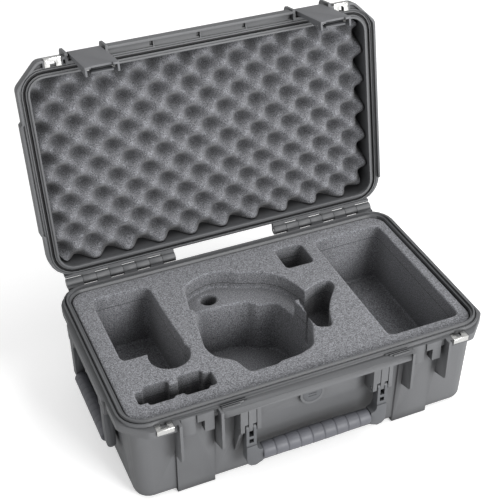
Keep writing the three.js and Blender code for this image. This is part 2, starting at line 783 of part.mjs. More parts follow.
// A face plate with deep sides, a barrel for its pin, and a hook that catches the keeper's short part. The
// face's free end is notched, which leaves a tab at each corner.
function latchBody(side) {
  const centre = side * latchX;
  const half = latchWidth / 2;
  const front = -(halfDepth + latchFaceReach);
  const root = front + over;
  const back = -(halfDepth + latchSideBack);
  const flare = -(halfDepth + latchFlare);
  const top = latchPinZ + latchHubRadius;
  const x = [centre - half, centre + half];
  const face = block(x, [front, front + latchFace], [latchEnd, top - latchCrownBevel]);
  const barrel = rodX(latchHubRadius, x, latchPinY, latchPinZ);
  const wall = [
    [root, top - latchCrownBevel], [root, latchEnd], [flare, latchEnd], [back, parting - latchFlareStart],
    [back, latchPinZ],
  ];
  const walls = [-1, 1].map((edge) => {
    const span = [centre + edge * half, centre + edge * (half - latchSide)].sort((a, b) => a - b);
    return alongX(wall, span);
  });
  const crownLow = latchPinZ - latchCrownDrop;
  const crown = alongX([
    [root, crownLow], [latchPinY, crownLow], [latchPinY, top], [front + latchFace, top],
    [root, top - latchCrownBevel],
  ], x);
  const catchTop = flangeFace - keeperNotch - clearance;
  const hook = block([centre + keeperLeft + clearance, centre + keeperStep - clearance],
    [root, -(halfDepth + hookBack)], [catchTop - hookHeight, catchTop]);
  const mouth = block([centre - mouthWidth / 2, centre + mouthWidth / 2],
    [front - over, front + latchFace + over], [latchEnd - over, latchEnd + mouthHeight]);
  const body = join(face, barrel, ...walls, crown, hook);
  return cut(body, mouth, latchPin(side, clearance), triggerPin(side, clearance));
}

// The release trigger rocks behind the latch's mouth. Its arm leans back to a finger lip.
function latchTrigger(side) {
  const centre = side * latchX;
  const half = latchWidth / 2 - latchSide - springRoom;
  const x = [centre - half, centre + half];
  const tip = latchEnd + triggerTip;
  const lipBack = -(halfDepth + triggerLipReach);
  const hub = rodX(triggerHub, x, triggerPinY, triggerPinZ, pinSides);
  const arm = alongX([
    [triggerPinY - triggerThickness / 2, triggerPinZ],
    [lipBack - triggerThickness, tip],
    [lipBack, tip],
    [lipBack, tip + triggerThickness],
    [triggerPinY + triggerThickness, triggerPinZ],
  ], x);
  return cut(join(hub, arm), triggerPin(side, clearance));
}

// A torsion spring round the trigger's pin, between the trigger and the latch's side wall.
class SpringCoil extends THREE.Curve {
  constructor(centre) {
    super();
    this.centre = centre;
  }

  getPoint(t, target = new THREE.Vector3()) {
    const turn = t * springTurns * Math.PI * 2;
    const pitch = springWire * 1.5;
    const y = triggerPinY + springRadius * Math.cos(turn);
    const z = triggerPinZ + springRadius * Math.sin(turn);
    return target.set(this.centre + (t - 0.5) * springTurns * pitch, y, z);
  }
}

function triggerSpring(side) {
  const outer = latchWidth / 2 - latchSide;
  const coil = new SpringCoil(side * latchX + outer - springRoom / 2);
  const section = new THREE.Shape().absarc(0, 0, springWire / 2, 0, Math.PI * 2);
  const options = { steps: springTurns * 8, curveSegments: 3, extrudePath: coil, bevelEnabled: false };
  return solid(new THREE.ExtrudeGeometry(section, options));
}

// ---------- handles ----------
function handlePin(centre, extra = 0) {
  const half = prongPitch + prongThickness / 2 + (extra > 0 ? over : 0);
  return rodX(handlePinRadius + extra, [centre - half, centre + half], handlePinY, handlePinZ);
}

// One arm: two tines either side of the middle prong, joined by crossbars below it, and a round elbow that
// turns in to the grip.
function frontHandleArm(side) {
  const centre = handleMiddle + side * handleHalfSpan;
  const half = handleArmWidth / 2;
  const front = handlePinY - handleArmDepth / 2;
  const back = handlePinY + handleArmDepth / 2;
  const gripZ = handlePinZ - handleDrop;
  const x = [centre - half, centre + half];
  const tines = join(
    rodX(handleHub, x, handlePinY, handlePinZ),
    block(x, [front, back], [gripZ, handlePinZ]),
    elbow(side),
  );
  const slotHalf = half - tineThickness;
  const slot = block([centre - slotHalf, centre + slotHalf], [front - over, back + over],
    [handlePinZ - crossbarDrop, handlePinZ + handleHub + over]);
  const windowTop = handlePinZ - crossbarDrop - crossbarHeight;
  const window = block([centre - slotHalf, centre + slotHalf], [front - over, back + over],
    [windowTop - armWindow, windowTop]);
  return cut(tines, slot, window, handlePin(centre, clearance));
}

function elbow(side) {
  const centre = handleMiddle + side * handleHalfSpan;
  const gripZ = handlePinZ - handleDrop;
  const outer = centre + side * handleArmWidth / 2;
  const armInner = centre - side * handleArmWidth / 2;
  const inner = armInner - side * elbowReach;
  const low = gripZ - elbowDrop;
  const shape = new THREE.Shape();
  shape.moveTo(outer, gripZ + elbowRise);
  shape.lineTo(outer, low + elbowRound);
  shape.quadraticCurveTo(outer, low, outer - side * elbowRound, low);
  shape.lineTo(inner, gripZ - elbowEnd);
  shape.lineTo(inner, gripZ + elbowEnd);
  shape.quadraticCurveTo(armInner, gripZ + elbowEnd, armInner, gripZ + elbowRise);
  return alongY(shape, [handlePinY - elbowHalfDepth, handlePinY + elbowHalfDepth]);
}

function frontHandleFrame() {
  const gripZ = handlePinZ - handleDrop;
  const reach = gripHalf + clearance + over;
  const core = rodX(gripCore, [handleMiddle - reach, handleMiddle + reach], handlePinY, gripZ);
  return join(frontHandleArm(-1), frontHandleArm(1), core);
}

// A grip sleeve turned about its own length: swollen segments with a groove between each two, thinner
// towards its ends.
function gripSleeve(radius, endRadius, bore, half, segments, groove) {
  const profile = [new THREE.Vector2(bore, -half)];
  const pitch = (2 * half) / segments;
  const radiusAt = (place) => radius - (radius - endRadius) * (place / half) ** 2;
  for (let i = 0; i < segments; i++) {
    const start = -half + i * pitch;
    profile.push(new THREE.Vector2(radiusAt(start) - groove, start));
    profile.push(new THREE.Vector2(radiusAt(start + groove), start + groove));
    profile.push(new THREE.Vector2(radiusAt(start + pitch - groove), start + pitch - groove));
  }
  profile.push(new THREE.Vector2(endRadius - groove, half));
  profile.push(new THREE.Vector2(bore, half));
  profile.push(new THREE.Vector2(bore, -half));
  return solid(new THREE.LatheGeometry(profile, rodSides));
}

function frontHandleGrip() {
  const gripZ = handlePinZ - handleDrop;
  const bore = gripCore + clearance;
  const sleeve = gripSleeve(gripRadius, gripEndRadius, bore, gripHalf, gripSegments, gripGroove);
  return sleeve.rotate([0, 0, 90]).translate([handleMiddle, handlePinY, gripZ]);
}

function endPin(place, extra = 0) {
  const half = endArmWidth / 2 + clearance * 2 + endCheek + (extra > 0 ? over : 0);
  return rodY(endPinRadius + extra, endPinX, [place - half, place + half], endPinZ);
}

function endHandleFrame() {
  const gripZ = endPinZ - endHandleDrop;
  const arms = [-1, 1].map((side) => {
    const place = side * endArmHalf;
    const y = [place - endArmWidth / 2, place + endArmWidth / 2];
    const arm = join(
      rodY(endHub, endPinX, y, endPinZ),
      block([endPinX - endHub, endPinX + endHub], y, [gripZ, endPinZ]),
      rodY(endHub, endPinX, y, gripZ),
    );
    return cut(arm, endPin(place, clearance));
  });
  const reach = endGripHalf + clearance + over;
  return join(...arms, rodY(endGripCore, endPinX, [-reach, reach], gripZ));
}

function endHandleGrip() {
  const gripZ = endPinZ - endHandleDrop;
  const bore = endGripCore + clearance;
  const sleeve = gripSleeve(endGripRadius, endGripRadius, bore, endGripHalf, endGripSegments,
    endGripGroove);
  return sleeve.translate([endPinX, 0, gripZ]);
}

// ---------- pressure valve ----------
// A stepped hole in the front wall's boss: a wide seat for the flange and cap, a bore for the shank.
function valveHole() {
  const front = -(halfDepth + valveBossReach);
  const seat = rodY(valveFlange + clearance, handleMiddle, [front - over, valveSeatY()], valveZ, bossSides);
  const bore = [front - over, -(halfDepth - foamSideGap)];
  return join(seat, rodY(valveRadius + clearance, handleMiddle, bore, valveZ));
}

function valveSeatY() {
  return -(halfDepth + valveBossReach) + valveCapThickness + valveFlangeThickness + 2 * clearance;
}

function valveBody() {
  const back = valveSeatY() - clearance;
  const shank = rodY(valveRadius, handleMiddle, [back - over, -(halfDepth + foamSideGap)], valveZ);
  const washer = rodY(valveFlange, handleMiddle, [back - valveFlangeThickness, back], valveZ, bossSides);
  return join(shank, washer);
}

function valveCap() {
  const face = -(halfDepth + valveBossReach);
  const cap = rodY(valveFlange, handleMiddle, [face, face + valveCapThickness], valveZ, bossSides);
  const vents = [-1, 0, 1].map((step) => {
    const z = valveZ + step * ventPitch;
    return block([handleMiddle - ventHalf, handleMiddle + ventHalf], [face - over, face + ventDeep],
      [z - ventWidth / 2, z + ventWidth / 2]);
  });
  return cut(cap, ...vents);
}

// ---------- foam ----------
// A closed outline with each corner rounded off.
function softOutline(points, radius) {
  const shape = new THREE.Shape();
  const corners = points.map(([x, y]) => new THREE.Vector2(x, y));
  corners.forEach((corner, i) => {
    const before = corners[(i + corners.length - 1) % corners.length];
    const after = corners[(i + 1) % corners.length];
    const inRoom = Math.min(radius, before.distanceTo(corner) * 0.45);
    const outRoom = Math.min(radius, after.distanceTo(corner) * 0.45);
    const start = corner.clone().lerp(before, inRoom / before.distanceTo(corner));
    const end = corner.clone().lerp(after, outRoom / after.distanceTo(corner));
    if (i) {
      shape.lineTo(start.x, start.y);
    } else {
      shape.moveTo(start.x, start.y);
    }
    shape.quadraticCurveTo(corner.x, corner.y, end.x, end.y);
  });
  return shape;
}

function softRect(x, y, radius) {
  return softOutline([[x[0], y[0]], [x[1], y[0]], [x[1], y[1]], [x[0], y[1]]], radius);
}

// Every pocket as a plan outline and a depth below the foam's face. Places are from the foam's ends,
// edges or the middle, whichever they stay with when the case grows.
function pockets() {
  const left = -halfLength;
  const right = halfLength;
  const front = -halfDepth;
  const rear = halfDepth;
  const toPad = topLayer + (coreTop - padTop);
  const lobe = new THREE.Shape().absarc(left + 92.5, front + 109, 30, 0, Math.PI * 2);
  const finger = new THREE.Shape().absarc(-62, 88, fingerRadius, 0, Math.PI * 2);
  const bin = softOutline([[left + 27.5, front + 121], [left + 120, front + 121],
    [left + 120.5, front + 133], [left + 117.5, rear - 119], [left + 115, rear - 33],
    [left + 108, rear - 25], [left + 27.5, rear - 25]], 8);
  const slot = (x, y) => [[left + x[0], left + x[1]], [front + y[0], front + y[1]]];
  return [
    { outline: bin, depth: toPad },
    { outline: lobe, depth: toPad, steps: 10 },
    { outline: softRect(...slot([34.5, 71.5], [24, 61]), 4), depth: slotDepth },
    { outline: softRect(...slot([22.5, 36], [30, 54]), 3), depth: slotDepth },
    { outline: rectOutline(...slot([71, 85], [28, 51])), depth: slotDepth },
    { outline: softRect(...slot([84.5, 120.5], [23, 62]), 4), depth: slotDepth },
    { outline: softRect(...slot([119, 132.5], [27, 53]), 3), depth: slotDepth },
    { outline: shelfOutline(), depth: shelfDepth, steps: 5 },
    { outline: finger, depth: fingerDepth, steps: 8 },
    { outline: nestOutline(), depth: nestDepth },
    { outline: leafOutline(), depth: leafDepth },
    { outline: softRect([64, 110], [rear - 71, rear - 20], 6), depth: leafDepth },
    { outline: softRect([right - 130.5, right - 15.5], [front + 19, rear - 25], 10), depth: toPad },
  ];
}

// The shelf sweeps round behind the drone's pocket.
function shelfOutline() {
  const shape = new THREE.Shape();
  shape.moveTo(-99, 35);
  shape.lineTo(-107, 43);
  shape.lineTo(-97, 93);
  shape.quadraticCurveTo(-94, 101, -68, 110);
  shape.quadraticCurveTo(-40, 120, -12, 98);
  shape.lineTo(23, 84);
  shape.quadraticCurveTo(56, 66, 64, 12);
  shape.lineTo(50, 0);
  shape.lineTo(-60, 0);
  return shape;
}

function nestOutline() {
  return softOutline([[-88, 67], [-22, 63], [-8, 60], [-1, 47], [29, 39], [39, 11], [44, -30], [42, -60],
    [24, -101], [-2, -111], [-32, -112], [-36, -116], [-79, -116], [-88, -86], [-112, -67], [-118, -45],
    [-107, 21]], 7);
}

function leafOutline() {
  return softOutline([[47, 0], [62, 11], [87, 24], [109, 25], [112, 8], [89, -21], [77, -42], [66, -75],
    [46, -68], [44, -50]], 6);
}

// One layer of the base's foam, between two heights, with every pocket that reaches it. The bottom
// layer is rounded below, as the shell is.
function foamLayer(low, high) {
  const grow = (z) => -draft * (foamTop - z);
  const slab = low < insideFloor + bottomEdge
    ? ringed(shellRings(high, low, grow(high)))
    : ringed([{ grow: grow(low), z: low }, { grow: grow(high), z: high }]);
  const tools = pockets().filter(({ depth }) => foamTop - depth < high - over);
  return cut(slab, ...tools.map(({ outline, depth, steps }) => {
    return raise(outline, [Math.max(foamTop - depth, low - over), high + over], steps ?? 2);
  }));
}

function lidFoam() {
  const top = lidCeiling - foamGap;
  const face = top - lidFoamThickness;
  const grow = (z) => foamSideGap - draft * (z - lidFace) - lidFoamGap;
  return ringed([
    { grow: grow(face), z: face },
    { grow: grow(top - bottomEdge), z: top - bottomEdge },
    { grow: grow(top) - bottomEdge, z: top },
  ]);
}

// ---------- assembly ----------
function piece(name, shape, material) {
  const { numProp, vertProperties, triVerts } = shape.getMesh();
  const geometry = new THREE.BufferGeometry();
  const count = vertProperties.length / numProp;
  const points = new Float32Array(count * 3);
  for (let i = 0; i < count; i++) {
    points.set(vertProperties.subarray(i * numProp, i * numProp + 3), i * 3);
  }
  geometry.setAttribute("position", new THREE.BufferAttribute(points, 3));
  geometry.setIndex(new THREE.BufferAttribute(triVerts, 1));
  geometry.computeVertexNormals();
  const mesh = new THREE.Mesh(geometry, material);
  mesh.name = name;
  return mesh;
}

const sides = [["left", -1], ["right", 1]];

const base = new THREE.Group();
base.add(piece("base_shell", baseShell(), shellPlastic));
base.add(piece("foam_top_layer", foamLayer(coreTop, foamTop), foamGrey));
base.add(piece("foam_core", foamLayer(padTop, coreTop - foamGap), foamGrey));
base.add(piece("foam_base_pad", foamLayer(insideFloor + foamGap, padTop - foamGap), foamGrey));
base.add(piece("pressure_valve_body", valveBody(), darkPlastic));
base.add(piece("pressure_valve_cap", valveCap(), darkPlastic));
base.add(piece("front_handle_frame", frontHandleFrame(), darkPlastic));
base.add(piece("front_handle_grip", frontHandleGrip(), rubber));
base.add(piece("end_handle_frame", endHandleFrame(), darkPlastic));
base.add(piece("end_handle_grip", endHandleGrip(), rubber));
base.add(piece("end_handle_pin_front", endPin(-endArmHalf), steel));
base.add(piece("end_handle_pin_rear", endPin(endArmHalf), steel));

// The lid is built shut, about the hinge axis, and then swung open.
const lid = new THREE.Group();
const shut = new THREE.Group();
shut.position.set(0, -hingeY, -parting);
lid.position.set(0, hingeY, parting);
lid.rotation.x = THREE.MathUtils.degToRad(-lidOpenAngle);
lid.add(shut);
shut.add(piece("lid_shell", lidShell(), shellPlastic));
shut.add(piece("lid_gasket", lidGasket(), seal));
shut.add(piece("lid_foam", lidFoam(), foamGrey));

for (const [name, side] of sides) {
  base.add(piece(`hinge_pin_${name}`, hingePin(side), steel));
  base.add(piece(`padlock_plate_base_${name}`, padlockPlate(side, flangeFace, -1), steel));
  base.add(piece(`front_handle_pin_${name}`, handlePin(handleMiddle + side * handleHalfSpan), steel));
  shut.add(piece(`padlock_plate_lid_${name}`, padlockPlate(side, skirtFace, 1), steel));
  shut.add(piece(`latch_body_${name}`, latchBody(side), latchPlastic));
  shut.add(piece(`latch_pin_${name}`, latchPin(side), steel));
  shut.add(piece(`latch_trigger_${name}`, latchTrigger(side), darkPlastic));
  shut.add(piece(`trigger_pin_${name}`, triggerPin(side), steel));
  shut.add(piece(`trigger_spring_${name}`, triggerSpring(side), steel));
}

const carryingCase = new THREE.Group();
carryingCase.add(base, lid);
export default carryingCase;
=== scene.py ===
"""Looks of a hard-shell drone carrying case that stands open: shells, foam, latches and handles."""

import json
import logging
import math
from dataclasses import dataclass, field
from enum import Enum

import bpy
from mathutils import Matrix, Vector


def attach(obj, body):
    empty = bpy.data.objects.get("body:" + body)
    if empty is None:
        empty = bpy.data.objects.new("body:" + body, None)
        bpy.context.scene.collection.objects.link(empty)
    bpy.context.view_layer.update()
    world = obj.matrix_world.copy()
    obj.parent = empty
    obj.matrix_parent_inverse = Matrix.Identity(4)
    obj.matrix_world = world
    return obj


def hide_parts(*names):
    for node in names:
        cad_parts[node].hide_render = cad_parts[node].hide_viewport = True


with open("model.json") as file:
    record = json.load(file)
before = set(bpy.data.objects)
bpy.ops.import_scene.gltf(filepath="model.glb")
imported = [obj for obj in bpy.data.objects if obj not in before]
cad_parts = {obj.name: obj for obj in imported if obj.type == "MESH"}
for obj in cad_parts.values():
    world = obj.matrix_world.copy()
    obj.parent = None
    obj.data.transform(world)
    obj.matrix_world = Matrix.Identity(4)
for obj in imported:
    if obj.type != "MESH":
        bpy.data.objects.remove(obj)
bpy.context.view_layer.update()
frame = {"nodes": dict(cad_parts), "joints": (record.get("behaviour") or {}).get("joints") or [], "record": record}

log = logging.getLogger("carrying_case")
MM = 0.001
NODES: dict[str, bpy.types.Object] = frame["nodes"]
# The colour sockets of a Mix node share their names with its other kinds of socket, so they go by number.
COLOUR_A, COLOUR_B, COLOUR_OUT = 6, 7, 2
SHARP_ANGLE = math.radians(32)
FLAT_ANGLE = math.radians(0.5)
WELD_DISTANCE = 0.001 * MM


# ---------- small tools ----------
def srgb(code: str) -> tuple[float, float, float, float]:
    """Turns an sRGB hex colour to the linear colour that shaders take.

    Args:
        code: six hex digits, with or without a leading '#'.

    Returns:
        Linear red, green, blue and an alpha of 1.
    """
    digits = code.lstrip("#")
    channels = [int(digits[i:i + 2], 16) / 255 for i in (0, 2, 4)]
    linear = [c / 12.92 if c <= 0.04045 else ((c + 0.055) / 1.055) ** 2.4 for c in channels]
    return (*linear, 1.0)


def add_node(tree: bpy.types.NodeTree, kind: str, settings: dict | None = None,
             **links: object) -> bpy.types.Node:
    """Adds one shader node.

    Args:
        tree: the node tree that gets the node.
        kind: the node's type name.
        settings: attributes, or socket values under 'in:NAME'.
        links: sockets to link from, keyed by the input's name with '_' for a blank.

    Returns:
        The new node.
    """
    made = tree.nodes.new(kind)
    for key, value in (settings or {}).items():
        if key.startswith("in:"):
            made.inputs[key[3:]].default_value = value
        else:
            setattr(made, key, value)
    for key, source in links.items():
        tree.links.new(source, made.inputs[key.replace("_", " ")])
    return made


def only(obj: bpy.types.Object) -> None:
    """Makes one object the whole selection and the active object.

    Args:
        obj: the object that is selected.
    """
    bpy.ops.object.select_all(action="DESELECT")
    obj.select_set(True)
    bpy.context.view_layer.objects.active = obj


def apply_modifier(obj: bpy.types.Object, kind: str, **settings: object) -> None:
    """Adds a modifier, sets it up and applies it.

    Args:
        obj: the object that is changed.
        kind: the modifier's type name.
        settings: the modifier's attributes.
    """
    only(obj)
    bpy.ops.object.modifier_add(type=kind)
    made = obj.modifiers[-1]
    for key, value in settings.items():
        setattr(made, key, value)
    bpy.ops.object.modifier_apply(modifier=made.name)


def edit(obj: bpy.types.Object, *steps: tuple[object, dict]) -> None:
    """Runs mesh operators on everything in an object's mesh, in edit mode.

    Args:
        obj: the object that is edited.
        steps: pairs of an operator and its keyword arguments.
    """
    only(obj)
    bpy.ops.object.mode_set(mode="EDIT")
    bpy.ops.mesh.select_all(action="SELECT")
    for operator, arguments in steps:
        operator(**arguments)
    bpy.ops.object.mode_set(mode="OBJECT")


def body_mesh(node: str, name: str) -> bpy.types.Object:
    """Copies a frame node as a clean, editable mesh.

    Args:
        node: the frame node's name.
        name: the new piece's name.

    Returns:
        The new object, with its doubles merged and its flat faces whole.
    """
    piece = bpy.data.objects.new(name, NODES[node].data.copy())
    bpy.context.scene.collection.objects.link(piece)
    piece.data.materials.clear()
    edit(
        piece,
        (bpy.ops.mesh.remove_doubles, {"threshold": WELD_DISTANCE}),
        (bpy.ops.mesh.dissolve_limited, {"angle_limit": FLAT_ANGLE}),
    )
    return piece


def round_edges(piece: bpy.types.Object, width: float) -> None:
    """Rounds the sharp edges as a mould does, and shades the rest smooth.

    Args:
        piece: the object that is rounded.
        width: the rounding's width in metres.
    """
    apply_modifier(piece, "BEVEL", width=width, segments=2, limit_method="ANGLE",
                   angle_limit=SHARP_ANGLE, use_clamp_overlap=True, harden_normals=False)
    only(piece)
    bpy.ops.object.shade_smooth_by_angle(angle=SHARP_ANGLE)


def underside(obj: bpy.types.Object) -> float:
    """Returns the height of an object's lowest vertex."""
    return min(vertex.co.z for vertex in obj.data.vertices)


def blank_material(name: str) -> tuple[bpy.types.Material, bpy.types.NodeTree, bpy.types.Node]:
    """Starts a material.

    Args:
        name: the material's name.

    Returns:
        The material, its node tree and its shader.
    """
    material = bpy.data.materials.new(name)
    material.use_nodes = True
    return material, material.node_tree, material.node_tree.nodes["Principled BSDF"]


def darkened(tree: bpy.types.NodeTree, colour: bpy.types.NodeSocket,
             share: bpy.types.NodeSocket) -> bpy.types.NodeSocket:
    """Darkens a colour to a share of itself.

    Args:
        tree: the material's node tree.
        colour: the colour.
        share: the share that is left, from 0 to 1.

    Returns:
        The darkened colour.
    """
    whole = {"data_type": "RGBA", "blend_type": "MULTIPLY", "in:Factor": 1.0}
    shade = add_node(tree, "ShaderNodeMix", whole)
    tree.links.new(colour, shade.inputs[COLOUR_A])
    tree.links.new(share, shade.inputs[COLOUR_B])
    return shade.outputs[COLOUR_OUT]


def painted_crevice_shade(tree: bpy.types.NodeTree, colour: bpy.types.NodeSocket, reach: float,
                    darkest: float) -> bpy.types.NodeSocket:
    """Paints shade into a colour where the surface is closed in: painted shade that stands in for light which does
    not reach there.

    Args:
        tree: the material's node tree.
        colour: the colour in the open.
        reach: how near other surfaces have to be, in metres.
        darkest: the share of the colour that is left in the deepest crevice.

    Returns:
        The darkened colour.
    """
    openness = add_node(tree, "ShaderNodeAmbientOcclusion", {"samples": 8, "in:Distance": reach})
    share = add_node(tree, "ShaderNodeMapRange", {"in:To Min": darkest, "in:To Max": 1.0},
                     Value=openness.outputs["AO"])
    return darkened(tree, colour, share.outputs["Result"])


# ---------- finishes ----------
class Coat(Enum):
    """The names of the record's material slots that pieces are finished in."""

    SHELL = "shell"
    LATCH = "latch_plastic"
    DARK = "dark_plastic"
    GRIP = "grip_rubber"
    SEAL = "seal_rubber"
    FOAM = "foam"
    STEEL = "steel"


@dataclass(frozen=True)
class MouldedPlastic:
    """Moulded polypropylene: a dull sheen over the fine leathery grain of a spark-eroded mould."""

    name: str
    tone: str = "#5b5c5e"
    light_tone: str = "#656668"
    roughness: float = 0.5
    polished: float = 0.06
    dulled: float = 0.08
    cloud: float = 111.111 * MM
    # A real grain is about 0.3 mm. It is drawn coarser, so that it shows.
    grain: float = 0.9 * MM
    grain_depth: float = 0.05 * MM
    grain_strength: float = 0.55
    # Painted shade: the colour darkens where other surfaces lie within this reach, down to the darkest share.
    crevice: float = 17 * MM
    darkest: float = 0.1
    ior: float = 1.49

    def build(self) -> bpy.types.Material:
        """Makes the material.

        Returns:
            The plastic, with a cloudy tone, painted shade in its crevices, a moulded grain and an uneven polish.
        """
        material, tree, shader = blank_material(self.name)
        shader.inputs["IOR"].default_value = self.ior
        place = add_node(tree, "ShaderNodeTexCoord").outputs["Object"]
        clouds = add_node(tree, "ShaderNodeTexNoise", {"in:Scale": 1 / self.cloud, "in:Detail": 5.0},
                          Vector=place)
        tone = add_node(tree, "ShaderNodeMix", {"data_type": "RGBA"}, Factor=clouds.outputs["Fac"])
        tone.inputs[COLOUR_A].default_value = srgb(self.tone)
        tone.inputs[COLOUR_B].default_value = srgb(self.light_tone)
        # Painted shade in the crevices, darkest where the surface is most closed in.
        shaded = painted_crevice_shade(tree, tone.outputs[COLOUR_OUT], self.crevice, self.darkest)
        tree.links.new(shaded, shader.inputs["Base Color"])
        span = {"in:To Min": self.roughness - self.polished, "in:To Max": self.roughness + self.dulled}
        polish = add_node(tree, "ShaderNodeMapRange", span, Value=clouds.outputs["Fac"])
        tree.links.new(polish.outputs["Result"], shader.inputs["Roughness"])
        grain = add_node(tree, "ShaderNodeTexVoronoi", {"in:Scale": 1 / self.grain}, Vector=place)
        relief = {"in:Strength": self.grain_strength, "in:Distance": self.grain_depth}
        bump = add_node(tree, "ShaderNodeBump", relief, Height=grain.outputs["Distance"])
        tree.links.new(bump.outputs["Normal"], shader.inputs["Normal"])
        return material


@dataclass(frozen=True)
class OpenCellFoam:
    """Reticulated polyether foam: cut cells scatter the light, so it is speckled and has no gloss."""

    name: str = "open_cell_foam"
    tone: str = "#7a7b7f"
    pore_tone: str = "#434447"
    strut_tone: str = "#a2a3a8"
    pore_end: float = 0.33
    strut_start: float = 0.67
    # A real cell is about 0.6 mm. It is drawn a little coarser, so that it shows.
    cell: float = 0.85 * MM
    cell_depth: float = 0.8 * MM
    cell_strength: float = 0.8
    # Painted shade: the foam's colour darkens in its pockets and hollows, down to the darkest share.
    crevice: float = 55 * MM
    darkest: float = 0.16
    roughness: float = 0.97
    specular: float = 0.2
    sheen: float = 0.15
    sheen_roughness: float = 0.6
    seam: float | None = None
    seam_half: float = 0.7 * MM
    seam_share: float = 0.45

    def build(self) -> bpy.types.Material:
        """Makes the material.

        Returns:
            The foam, with dark pores, pale struts, painted shade in its pockets and a rough, velvety surface.
        """
        material, tree, shader = blank_material(self.name)
        shader.inputs["Roughness"].default_value = self.roughness
        shader.inputs["Specular IOR Level"].default_value = self.specular
        shader.inputs["Sheen Weight"].default_value = self.sheen
        shader.inputs["Sheen Roughness"].default_value = self.sheen_roughness
        place = add_node(tree, "ShaderNodeTexCoord").outputs["Object"]
        speckle = {"in:Scale": 0.5 / self.cell, "in:Detail": 3.0, "in:Roughness": 0.7}
        cells = add_node(tree, "ShaderNodeTexNoise", speckle, Vector=place)
        ramp = add_node(tree, "ShaderNodeValToRGB", None, Fac=cells.outputs["Fac"])
        pore, strut = ramp.color_ramp.elements
        pore.position, pore.color = self.pore_end, srgb(self.pore_tone)
        strut.position, strut.color = self.strut_start, srgb(self.strut_tone)
        middle = (self.pore_end + self.strut_start) / 2
        ramp.color_ramp.elements.new(middle).color = srgb(self.tone)
        colour = ramp.outputs["Color"]
        if self.seam is not None:
            colour = self.seamed(tree, place, colour)
        # Painted shade in the pockets and hollows of the foam.
        shaded = painted_crevice_shade(tree, colour, self.crevice, self.darkest)
        tree.links.new(shaded, shader.inputs["Base Color"])
        relief = {"in:Strength": self.cell_strength, "in:Distance": self.cell_depth}
        bump = add_node(tree, "ShaderNodeBump", relief, Height=cells.outputs["Fac"])
        tree.links.new(bump.outputs["Normal"], shader.inputs["Normal"])
        return material

    def seamed(self, tree: bpy.types.NodeTree, place: bpy.types.NodeSocket,
               colour: bpy.types.NodeSocket) -> bpy.types.NodeSocket:
        """Darkens a fine line at the height where two sheets of the foam are glued.

        Args:
            tree: the material's node tree.
            place: the place on the piece.
            colour: the foam's colour.

        Returns:
            The colour with the seam's line.
        """
        height = add_node(tree, "ShaderNodeSeparateXYZ", None, Vector=place).outputs["Z"]
        line = add_node(tree, "ShaderNodeMath", {"operation": "COMPARE"})
        line.inputs[1].default_value = self.seam
        line.inputs[2].default_value = self.seam_half
        tree.links.new(height, line.inputs[0])
        share = add_node(tree, "ShaderNodeMapRange", {"in:To Min": 1.0, "in:To Max": self.seam_share},
                         Value=line.outputs["Value"])
        return darkened(tree, colour, share.outputs["Result"])


@dataclass(frozen=True)
class Rubber:
    """Moulded elastomer: darker and duller than the shell, with a faint dusty bloom."""

    name: str
    tone: str
    bloom_tone: str
    roughness: float = 0.5
    bloom: float = 41.667 * MM
    # A real matt grain is finer than 0.2 mm. It is drawn coarser, so that it shows.
    grain: float = 0.7143 * MM
    grain_depth: float = 0.1 * MM
    grain_strength: float = 0.3

    def build(self) -> bpy.types.Material:
        """Makes the material.

        Returns:
            The rubber, with a soft uneven bloom and a fine matt grain.
        """
        material, tree, shader = blank_material(self.name)
        shader.inputs["Roughness"].default_value = self.roughness
        place = add_node(tree, "ShaderNodeTexCoord").outputs["Object"]
        bloom = add_node(tree, "ShaderNodeTexNoise", {"in:Scale": 1 / self.bloom, "in:Detail": 4.0},
                         Vector=place)
        tone = add_node(tree, "ShaderNodeMix", {"data_type": "RGBA"}, Factor=bloom.outputs["Fac"])
        tone.inputs[COLOUR_A].default_value = srgb(self.tone)
        tone.inputs[COLOUR_B].default_value = srgb(self.bloom_tone)
        tree.links.new(tone.outputs[COLOUR_OUT], shader.inputs["Base Color"])
        grain = add_node(tree, "ShaderNodeTexNoise", {"in:Scale": 1 / self.grain, "in:Detail": 2.0},
                         Vector=place)
        relief = {"in:Strength": self.grain_strength, "in:Distance": self.grain_depth}
        bump = add_node(tree, "ShaderNodeBump", relief, Height=grain.outputs["Fac"])
        tree.links.new(bump.outputs["Normal"], shader.inputs["Normal"])
        return material


@dataclass(frozen=True)
class PlatedSteel:
    """Zinc-plated sheet: bright, with fine rolling lines that stretch its reflections."""

    name: str = "plated_steel"
    tone: str = "#dcdcda"
    shade_tone: str = "#c4c4c2"
    roughness: float = 0.24
    polished: float = 0.08
    dulled: float = 0.12
    line_length: float = 16.6667 * MM
    # Real rolling lines are about 0.1 mm apart. They are drawn coarser, so that they show.
    line_spacing: float = 0.55556 * MM

    def build(self) -> bpy.types.Material:
        """Makes the material.

        Returns:
            The steel, with rolling lines in its tone and its polish.
        """
        material, tree, shader = blank_material(self.name)
        shader.inputs["Metallic"].default_value = 1.0
        place = add_node(tree, "ShaderNodeTexCoord").outputs["Object"]
        across = 1 / self.line_spacing
        stretch = add_node(tree, "ShaderNodeMapping", {"in:Scale": (1 / self.line_length, across, across)},
                           Vector=place)
        lines = add_node(tree, "ShaderNodeTexNoise", {"in:Scale": 1.0, "in:Detail": 3.0},
                         Vector=stretch.outputs["Vector"])
        tone = add_node(tree, "ShaderNodeMix", {"data_type": "RGBA"}, Factor=lines.outputs["Fac"])
        tone.inputs[COLOUR_A].default_value = srgb(self.shade_tone)
        tone.inputs[COLOUR_B].default_value = srgb(self.tone)
        tree.links.new(tone.outputs[COLOUR_OUT], shader.inputs["Base Color"])
        span = {"in:To Min": self.roughness - self.polished, "in:To Max": self.roughness + self.dulled}
        polish = add_node(tree, "ShaderNodeMapRange", span, Value=lines.outputs["Fac"])
        tree.links.new(polish.outputs["Result"], shader.inputs["Roughness"])
        return material


